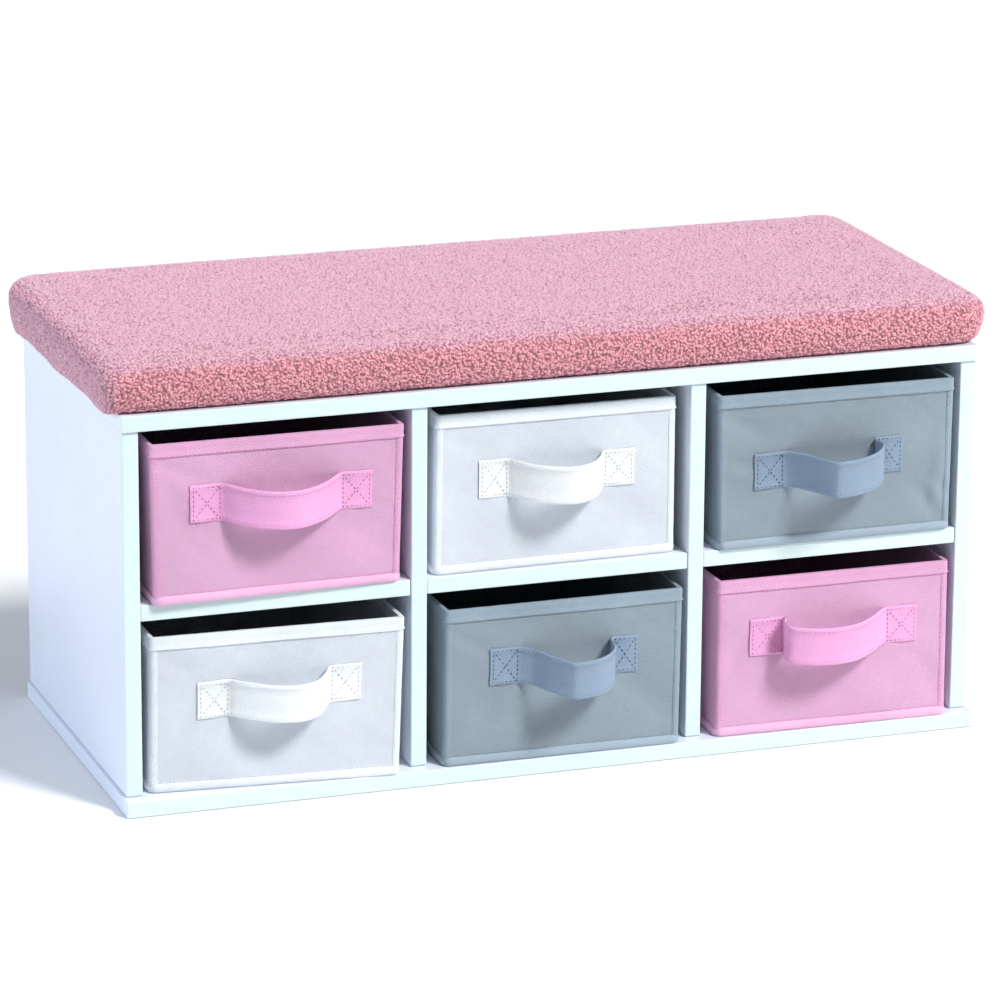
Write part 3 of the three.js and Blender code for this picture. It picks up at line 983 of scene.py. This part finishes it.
def rounded_border(half_x, half_y, radius, count_x, count_y):
    """A rounded rectangle with as many points as a grid's border, corner point to corner middle."""
    sides = []
    for side in range(4):
        along, other = (half_x, half_y) if side % 2 == 0 else (half_y, half_x)
        count = count_x if side % 2 == 0 else count_y
        straight = along - radius
        total = 2 * straight + radius * math.pi / 2
        for k in range(count):
            at = total * k / count - total / 2
            if abs(at) <= straight:
                x, y = at, -other
            else:
                angle = (abs(at) - straight) / radius
                x = math.copysign(straight + radius * math.sin(angle), at)
                y = -other + radius * (1 - math.cos(angle))
            turn = side * math.pi / 2
            sides.append((x * math.cos(turn) - y * math.sin(turn), x * math.sin(turn) + y * math.cos(turn)))
    return np.array(sides)


def cushion_cage():
    """Points and faces of the cover's cage: a grid on top, rings down its side, one face below."""
    centre = (cover_low + cover_high) / 2
    half_x, half_y = (cover_high.x - cover_low.x) / 2, (cover_high.y - cover_low.y) / 2
    count_x, count_y = round(2 * half_x / cage_step), round(2 * half_y / cage_step)
    border = rounded_border(half_x, half_y, corner_radius, count_x, count_y)
    inner_x, inner_y = half_x - flat_margin, half_y - flat_margin
    grid_x = np.linspace(-inner_x, inner_x, count_x + 1)
    grid_y = np.linspace(-inner_y, inner_y, count_y + 1)
    height = cover_high.z - cover_low.z
    points = [(x, y, height) for y in grid_y for x in grid_x]
    grid = np.arange(len(points)).reshape(count_y + 1, count_x + 1)
    corners = np.stack([grid[:-1, :-1], grid[:-1, 1:], grid[1:, 1:], grid[1:, :-1]], -1)
    faces = [tuple(corner) for corner in corners.reshape(-1, 4)]
    ring = [*grid[0, :-1], *grid[:-1, -1], *grid[-1, :0:-1], *grid[:0:-1, 0]]
    inner = np.array([points[k][:2] for k in ring])
    for out, up in cushion_profile()[1:]:
        share = 1 + out / flat_margin
        first = len(points)
        points += [(x, y, up) for x, y in inner + (border - inner) * share]
        new_ring = list(range(first, first + len(ring)))
        for k in range(len(ring)):
            ahead = (k + 1) % len(ring)
            faces.append((ring[k], new_ring[k], new_ring[ahead], ring[ahead]))
        ring = new_ring
    faces.append(tuple(ring))
    points = np.array(points)
    share_x, share_y = points[:, 0] / half_x, points[:, 1] / half_y
    dome = np.clip(1 - share_x ** 4, 0, 1) * np.clip(1 - share_y ** 4, 0, 1)
    share_up = points[:, 2] / height
    points[:, 2] += crown * dome * share_up ** 2
    near_left = np.clip((left_reach - half_x - points[:, 0]) / left_reach, 0, 1)
    near_left = near_left ** 2 * (3 - 2 * near_left)
    low_down = np.clip(1 - share_up / 0.35, 0, 1)
    points[:, 0] -= near_left * (left_shift + left_foot_shift * low_down)
    points += np.array([centre.x, centre.y, cover_low.z])
    hanging = np.clip((droop_starts - points[:, 0]) / droop_run, 0, 1)
    uneven = 1 + 0.3 * share_y + 0.18 * np.sin(38 * points[:, 1] + 1) + 0.10 * np.sin(90 * points[:, 1])
    points[:, 2] -= left_droop * hanging * uneven * np.clip(1 - share_up, 0, 1) ** 1.5
    return points, faces


points, faces = cushion_cage()
cover = piece_of("cushion_boucle", points, faces)

rest_points = points.copy()
still = cover.vertex_groups.new(name="still")
height_share = (points[:, 2] - cover_low.z) / (cover_high.z - cover_low.z)
for index, share in enumerate(height_share):
    if share < 0.25:
        still.add([index], 1.0, "REPLACE")
cloth = cover.modifiers.new("swell", "CLOTH")
cloth.settings.use_pressure = True
cloth.settings.uniform_pressure_force = swell_pressure
cloth.settings.vertex_group_mass = "still"
cloth.settings.effector_weights.gravity = 0
for step in range(1, swell_frames + 1):
    scene.frame_set(step)
swollen = cover.evaluated_get(bpy.context.evaluated_depsgraph_get())
moved = np.array([v.co for v in swollen.data.vertices]) - rest_points
outward = np.array([normal.vector for normal in cover.data.vertex_normals])
cover.modifiers.remove(cloth)
scene.frame_set(1)
swell = np.maximum(0, (moved * outward).sum(axis=1))[:, None]
swell = swell_limit * np.tanh(swell / swell_limit)
cover.data.vertices.foreach_set("co", (rest_points + swell * outward).astype(np.float32).ravel())
cover.data.update()

smoothing = cover.modifiers.new("rounding", "SUBSURF")
smoothing.levels = smoothing.render_levels = cover_rounds

curl_size = 0.0024
curl_height = 0.0019
curl_base = 0.45
curl_wander = 0.0014
strand_size = 0.0011
underside_normal = -0.97
underside_fade = 0.06


def vector_maths(tree, operation, inputs):
    """The vector that a Vector Math node gives for values or sockets."""
    return add_node(tree, "ShaderNodeVectorMath", inputs, operation=operation).outputs[0]


def curl_pattern(tree, where, size, wander):
    """How high the pile stands at a place, from 0 in a gap to 1 on a curl, for both node trees."""
    drift = add_node(tree, "ShaderNodeTexNoise", {"Vector": where, "Scale": 0.45 / size, "Detail": 1.0})
    centred = vector_maths(tree, "SUBTRACT", {0: drift.outputs["Color"], 1: (0.5, 0.5, 0.5)})
    pushed = vector_maths(tree, "SCALE", {0: centred, "Scale": wander * 2})
    cells = add_node(tree, "ShaderNodeTexVoronoi", {
        "Vector": vector_maths(tree, "ADD", {0: where, 1: pushed}), "Scale": 1 / size, "Smoothness": 0.25,
    }, feature="SMOOTH_F1")
    tuft = add_node(tree, "ShaderNodeMapRange", {
        "Value": cells.outputs["Distance"], "From Min": 0.80, "From Max": 0.22, "To Min": 0.0, "To Max": 1.0,
    }, interpolation_type="SMOOTHSTEP")
    return tuft.outputs["Result"]


zip_low, zip_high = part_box("cushion_zip")
zip_middle = (zip_low + zip_high) / 2
zip_half_length = (zip_high.x - zip_low.x) / 2
zip_half_width = (zip_high.z - zip_low.z) / 2
placket_margin = 0.0016
placket_depth = 0.0009
placket_reach = 0.004
placket_edge = 0.0012


def beside_zip(tree, place):
    """1 where the pile stands, falling to 0 inside the flat placket that the zip is sewn to."""
    at = add_node(tree, "ShaderNodeSeparateXYZ", {"Vector": place}).outputs
    beyond = []
    for axis, middle, half in (
        ("X", zip_middle.x, zip_half_length), ("Z", zip_middle.z, zip_half_width),
        ("Y", zip_middle.y, placket_reach),
    ):
        away = maths(tree, "ABSOLUTE", maths(tree, "SUBTRACT", at[axis], middle))
        beyond.append(maths(tree, "SUBTRACT", away, half + placket_margin))
    outside = maths(tree, "MAXIMUM", maths(tree, "MAXIMUM", beyond[0], beyond[1]), beyond[2])
    return spread(tree, outside, 0, 1, 0, placket_edge)


def above_lining(tree, upward):
    """0 on the flat underside, which is lining, and 1 on all of the cover that has pile."""
    return spread(tree, upward, 0, 1, underside_normal, underside_normal + underside_fade)


def curl_maker():
    """Raises the curls of the pile, and keeps each point's first place and facing for the material."""
    group, given = new_group("boucle_pile", (("Height", "Float"), ("Pile", "Material")))
    position = add_node(group, "GeometryNodeInputPosition").outputs["Position"]
    kept = add_node(group, "GeometryNodeStoreNamedAttribute", {
        "Geometry": given["Geometry"], "Name": "first_place", "Value": position,
    }, data_type="FLOAT_VECTOR", domain="POINT")
    facing = add_node(group, "GeometryNodeInputNormal").outputs["Normal"]
    parts = add_node(group, "ShaderNodeSeparateXYZ", {"Vector": facing}).outputs
    upward = parts["Z"]
    # The facing is kept for the lining and for the painted sheen on the top and ends.
    for label, value in (("upward", upward), ("endward", maths(group, "ABSOLUTE", parts["X"]))):
        kept = add_node(group, "GeometryNodeStoreNamedAttribute", {
            "Geometry": kept.outputs["Geometry"], "Name": label, "Value": value,
        }, data_type="FLOAT", domain="POINT")
    first_place = add_node(group, "GeometryNodeInputNamedAttribute", {"Name": "first_place"},
                           data_type="FLOAT_VECTOR").outputs["Attribute"]
    tuft = curl_pattern(group, first_place, curl_size, curl_wander)
    amount = maths(group, "MULTIPLY", maths(group, "SUBTRACT", tuft, curl_base), given["Height"])
    piled = beside_zip(group, first_place)
    for share in (piled, above_lining(group, upward)):
        amount = maths(group, "MULTIPLY", amount, share)
    amount = maths(group, "ADD", amount, spread(group, piled, -placket_depth, 0, 0, 1))
    moved = add_node(group, "GeometryNodeSetPosition", {
        "Geometry": kept.outputs["Geometry"],
        "Offset": vector_maths(group, "SCALE", {0: facing, "Scale": amount}),
    })
    real = add_node(group, "GeometryNodeRealizeInstances", {"Geometry": moved.outputs["Geometry"]})
    return end_group(group, real.outputs["Geometry"], given["Pile"])


boucle, tree, shader = new_material("boucle_pink", {
    "Roughness": 0.9, "Specular IOR Level": 0.15, "Sheen Weight": 0.35, "Sheen Roughness": 0.4,
    "Sheen Tint": (0.93, 0.84, 1.0, 1),
})
first_place = add_node(tree, "ShaderNodeAttribute", attribute_name="first_place").outputs["Vector"]
upward = add_node(tree, "ShaderNodeAttribute", attribute_name="upward").outputs["Fac"]
tuft = curl_pattern(tree, first_place, curl_size, curl_wander)
fuzz = grain(tree, 1300.0, detail=3.0, roughness=0.7, where=first_place)
strands = curl_pattern(tree, first_place, strand_size, strand_size * 0.8)
# The pile is coloured by how high it stands: painted shade makes the gaps between curls dark, and a painted
# highlight makes the tips light, round the fabric's own rose on the curls.
shaded_gap_to_curl = spread(tree, tuft, 0, 1, 0.0, 0.4)
curl_to_highlit_tip = spread(tree, tuft, 0, 0.85, 0.4, 1.0)
piles = []
for shaded_gap, curl, highlit_tip in (
    ((0.15, 0.010, 0.020, 1), (0.68, 0.16, 0.20, 1), (0.97, 0.46, 0.50, 1)),
    ((0.28, 0.08, 0.15, 1), (0.74, 0.385, 0.48, 1), (0.86, 0.545, 0.67, 1)),
):
    piles.append(tinted(tree, curl_to_highlit_tip, tinted(tree, shaded_gap_to_curl, shaded_gap, curl), highlit_tip))
# Painted sheen: the top and the ends of the cover are painted paler and more lilac than the front, for the
# sheen and cool light that fall on them; the front keeps the fabric's coral.
side_pile, painted_sheen_pile = piles
endward = add_node(tree, "ShaderNodeAttribute", attribute_name="endward").outputs["Fac"]
painted_top_sheen = spread(tree, upward, 0, 1, 0.45, 0.9)
painted_end_sheen = spread(tree, endward, 0, 0.85, 0.3, 0.9)
pile_colour = tinted(tree, maths(tree, "MAXIMUM", painted_top_sheen, painted_end_sheen), side_pile, painted_sheen_pile)
# Painted shade between the fine strands of each curl.
shade_between_strands = spread(tree, strands, 0.7, 0, 0.0, 0.6)
pile_colour = tinted(tree, shade_between_strands, pile_colour, (0.42, 0.12, 0.17, 1))
pile_colour = tinted(tree, spread(tree, fuzz, 0, 0.4), pile_colour, (0.97, 0.70, 0.76, 1))
weft = add_node(tree, "ShaderNodeTexChecker", {"Vector": first_place, "Scale": 1400.0}).outputs["Fac"]
lining_colour = tinted(tree, weft, (0.62, 0.36, 0.42, 1), (0.72, 0.45, 0.51, 1))
two_tone(tree, shader, above_lining(tree, upward), lining_colour, pile_colour)
height = tuft
for detail, weight in ((fuzz, 0.5), (strands, 0.45)):
    height = maths(tree, "ADD", height, maths(tree, "MULTIPLY", detail, weight))
bumped(tree, shader, height, 0.8, 0.001)

boucle_cover = made_by(curl_maker(), "cushion_pile", cover, {"Height": curl_height, "Pile": boucle})
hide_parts("cushion_cover")
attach(boucle_cover, "cushion")


# ---- Cushion zip ------------------------------------------------------------
# A nylon coil zip along the back of the cover, sewn to a placket without pile, so
# that the cover comes off for washing. Its metal slider has a small flat pull.

tape_colour = (0.70, 0.40, 0.46, 1)
tape_thickness = 0.0005
tape_gap = 0.0011
tape_rows = 90
tooth_pitch = 0.0015
tooth_size = (0.0011, 0.0006, 0.00048)
tooth_offset = 0.00065
tooth_stand = 0.0006
zip_face = zip_high.y - 0.0002

tape_cloth, tree, shader = new_material("zip_tape", {"Roughness": 0.8, "Sheen Weight": 0.2})
place = add_node(tree, "ShaderNodeTexCoord").outputs["Object"]
ribs = add_node(tree, "ShaderNodeTexWave", {
    "Vector": place, "Scale": 900.0, "Distortion": 0.6,
}).outputs["Fac"]
two_tone(tree, shader, ribs, tape_colour, (0.56, 0.29, 0.35, 1))
bumped(tree, shader, ribs, 0.6, 0.0002)

coil, tree, shader = new_material("zip_coil", {"Roughness": 0.35, "Specular IOR Level": 0.5})
two_tone(tree, shader, spread(tree, grain(tree, 700.0), 0, 1), (0.66, 0.35, 0.42, 1), (0.78, 0.46, 0.53, 1))

for label, side in (("upper", 1), ("lower", -1)):
    outer, inner = zip_half_width * side, tape_gap * side
    along = np.linspace(-zip_half_length, zip_half_length, tape_rows)
    section = [
        (outer, 0.0), (outer, tape_thickness), (outer - 0.0006 * side, tape_thickness * 1.4),
        (outer - 0.0012 * side, tape_thickness), (inner + 0.0008 * side, tape_thickness),
        (inner, tape_thickness * 1.6), (inner, 0.0),
    ]
    rows = np.array([
        [(zip_middle.x + x, zip_face + out, zip_middle.z + up) for up, out in section] for x in along
    ])
    width_run = np.array([up for up, _ in section] + [outer])
    tape = lofted(f"zip_{label}_tape", rows, width_run, along, tape_cloth, capped=True)
    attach(tape, "cushion")
    if side == 1:
        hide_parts("cushion_zip")

tooth_rows = []
for side in (1, -1):
    first = zip_low.x + (tooth_pitch / 2 if side == 1 else 0)
    row_place = (zip_face + tooth_stand, zip_middle.z + side * tooth_offset)
    tooth_rows.append([(first, *row_place), (zip_high.x, *row_place)])
teeth = made_by(stitching, "zip_teeth", line_mesh(tooth_rows), {
    "Pitch": tooth_pitch, "Size": tooth_size, "Thread": coil,
})
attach(teeth, "cushion")

slider_low, slider_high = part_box("zip_slider")
slider_middle = (slider_low + slider_high) / 2
slider_length = slider_high.x - slider_low.x
body_thickness = 0.0012
body_y = slider_low.y + body_thickness / 2


def bevelled_plate(shape, onward, outward, size, bevel, narrow=1.0):
    """Adds a block with rounded edges and a narrowed far end, placed from the slider body's middle."""
    made = bmesh.ops.create_cube(shape, size=1.0)["verts"]
    centre = Vector((slider_middle.x + onward, body_y + outward, slider_middle.z))
    for vert in made:
        taper = narrow if vert.co.x > 0 else 1.0
        vert.co = Vector((vert.co.x * size[0], vert.co.y * size[1], vert.co.z * size[2] * taper)) + centre
    edges = {edge for vert in made for edge in vert.link_edges}
    bmesh.ops.bevel(shape, geom=list(edges), offset=bevel, segments=3, profile=0.6, affect="EDGES")


shape = bmesh.new()
body_size = (slider_length, body_thickness, 0.0076)
bridge_size = (0.0062, 0.0009, 0.0022)
pull_size = (0.0190, 0.0009, 0.0058)
bevelled_plate(shape, 0, 0, body_size, 0.0004, 0.72)
bevelled_plate(shape, -0.001, 0.0009, bridge_size, 0.0003)
bevelled_plate(shape, 0.0095, 0.0005, pull_size, 0.0003, 0.8)
slider_mesh = bpy.data.meshes.new("zip_slider_and_pull")
shape.to_mesh(slider_mesh)
shape.free()
slider_mesh.polygons.foreach_set("use_smooth", [True] * len(slider_mesh.polygons))
slider_mesh.set_sharp_from_angle(angle=firm_edge)
slider_mesh.materials.append(zinc)
slider = bpy.data.objects.new("zip_slider_and_pull", slider_mesh)
scene.collection.objects.link(slider)
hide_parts("zip_slider")
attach(slider, "zip_slider")


# ---- Cushion underside and foam ---------------------------------------------
# The foam slab fills the cover. Four pads of hook tape are sewn under the
# cover's corners, and keep it from sliding off the top panel.

foam, tree, shader = new_material("foam", {"Roughness": 0.95})
open_cells = grain(tree, 900.0, detail=3.0)
two_tone(tree, shader, spread(tree, open_cells, 0, 1), (0.72, 0.62, 0.40, 1), (0.88, 0.80, 0.60, 1))
bumped(tree, shader, open_cells, 0.8, 0.0006)
dress("foam_core", foam)

hook_tape, tree, shader = new_material("hook_tape", {"Roughness": 0.9})
hooks = add_node(tree, "ShaderNodeTexVoronoi", {
    "Vector": add_node(tree, "ShaderNodeTexCoord").outputs["Object"], "Scale": 1100.0,
}).outputs["Distance"]
two_tone(tree, shader, spread(tree, hooks, 0, 1, 0.1, 0.6), (0.34, 0.34, 0.38, 1), (0.12, 0.12, 0.14, 1))
bumped(tree, shader, hooks, 0.9, 0.0005)
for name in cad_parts:
    if name.endswith("_hook_pad"):
        dress(name, hook_tape)
